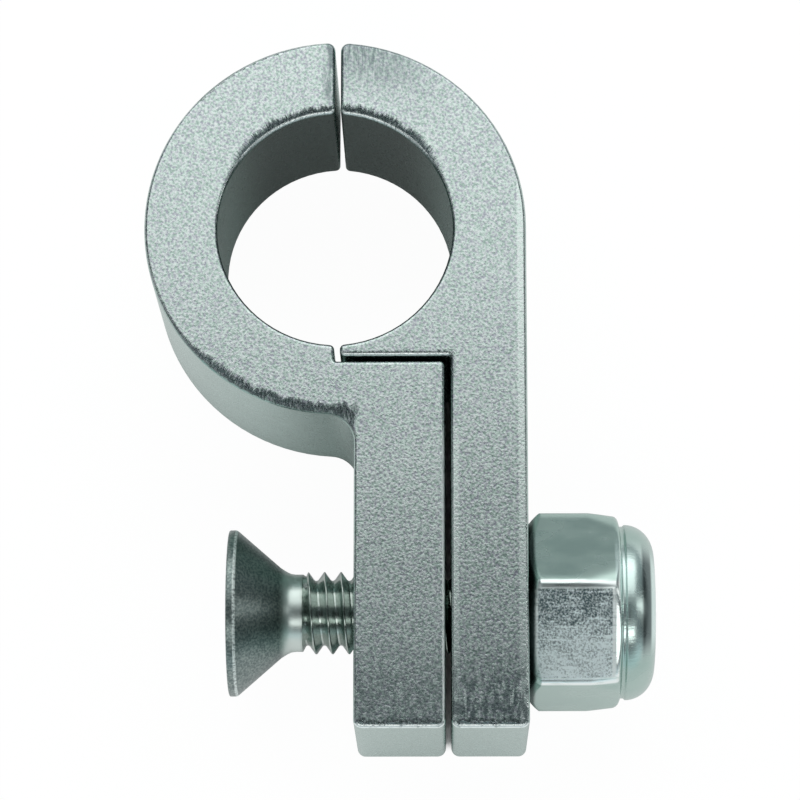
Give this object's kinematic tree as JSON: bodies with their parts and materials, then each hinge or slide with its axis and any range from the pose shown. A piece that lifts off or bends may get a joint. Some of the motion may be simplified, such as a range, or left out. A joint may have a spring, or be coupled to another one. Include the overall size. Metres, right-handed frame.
{
  "type": "p-clamp",
  "caption": "Two-piece billet aluminium P-clamp: a split ring on flat legs, closed by a countersunk socket screw and a nylon-insert lock nut, to hold a hose, pipe or cable bundle on a panel.",
  "frame": {"origin": "centre of the clamp bore, half way through the clamp's width", "axes": "+Z along the bore, out of the front face; +Y from the legs' ends to the ring; +X along the screw, from its head to the lock nut"},
  "size_m": [0.0244, 0.0336, 0.0098],
  "materials": {
    "jaw_metal": "machined and tumbled, fine matt grain",
    "screw_steel": "turned stainless steel, bright",
    "nut_steel": "cold-formed stainless steel, tumbled bright",
    "nylon": "natural nylon, slightly translucent"
  },
  "bodies": {
    "left_jaw": {"left_jaw": "jaw_metal"},
    "right_jaw": {"right_jaw": "jaw_metal"},
    "screw": {"socket_screw": "screw_steel"},
    "nut": {"lock_nut": "nut_steel", "nylon_ring": "nylon"}
  },
  "joints": [
    {"name": "jaw_slide", "type": "slide", "parent": "left_jaw", "child": "right_jaw", "axis": [1, 0, 0], "range_m": [-0.00027, 0.0038]},
    {"name": "screw_slide", "type": "slide", "parent": "left_jaw", "child": "screw", "axis": [1, 0, 0], "range_m": [-0.0038, 0.00579]},
    {"name": "nut_turn", "type": "hinge", "parent": "right_jaw", "child": "nut", "pos_m": [0.00919, -0.01792, 0], "axis": [1, 0, 0], "range_deg": [-2627, 1724]}
  ],
  "couplings": [
    {"joint": "nut_turn", "follows": "screw_slide", "rad_per_m": -7915.8}
  ]
}
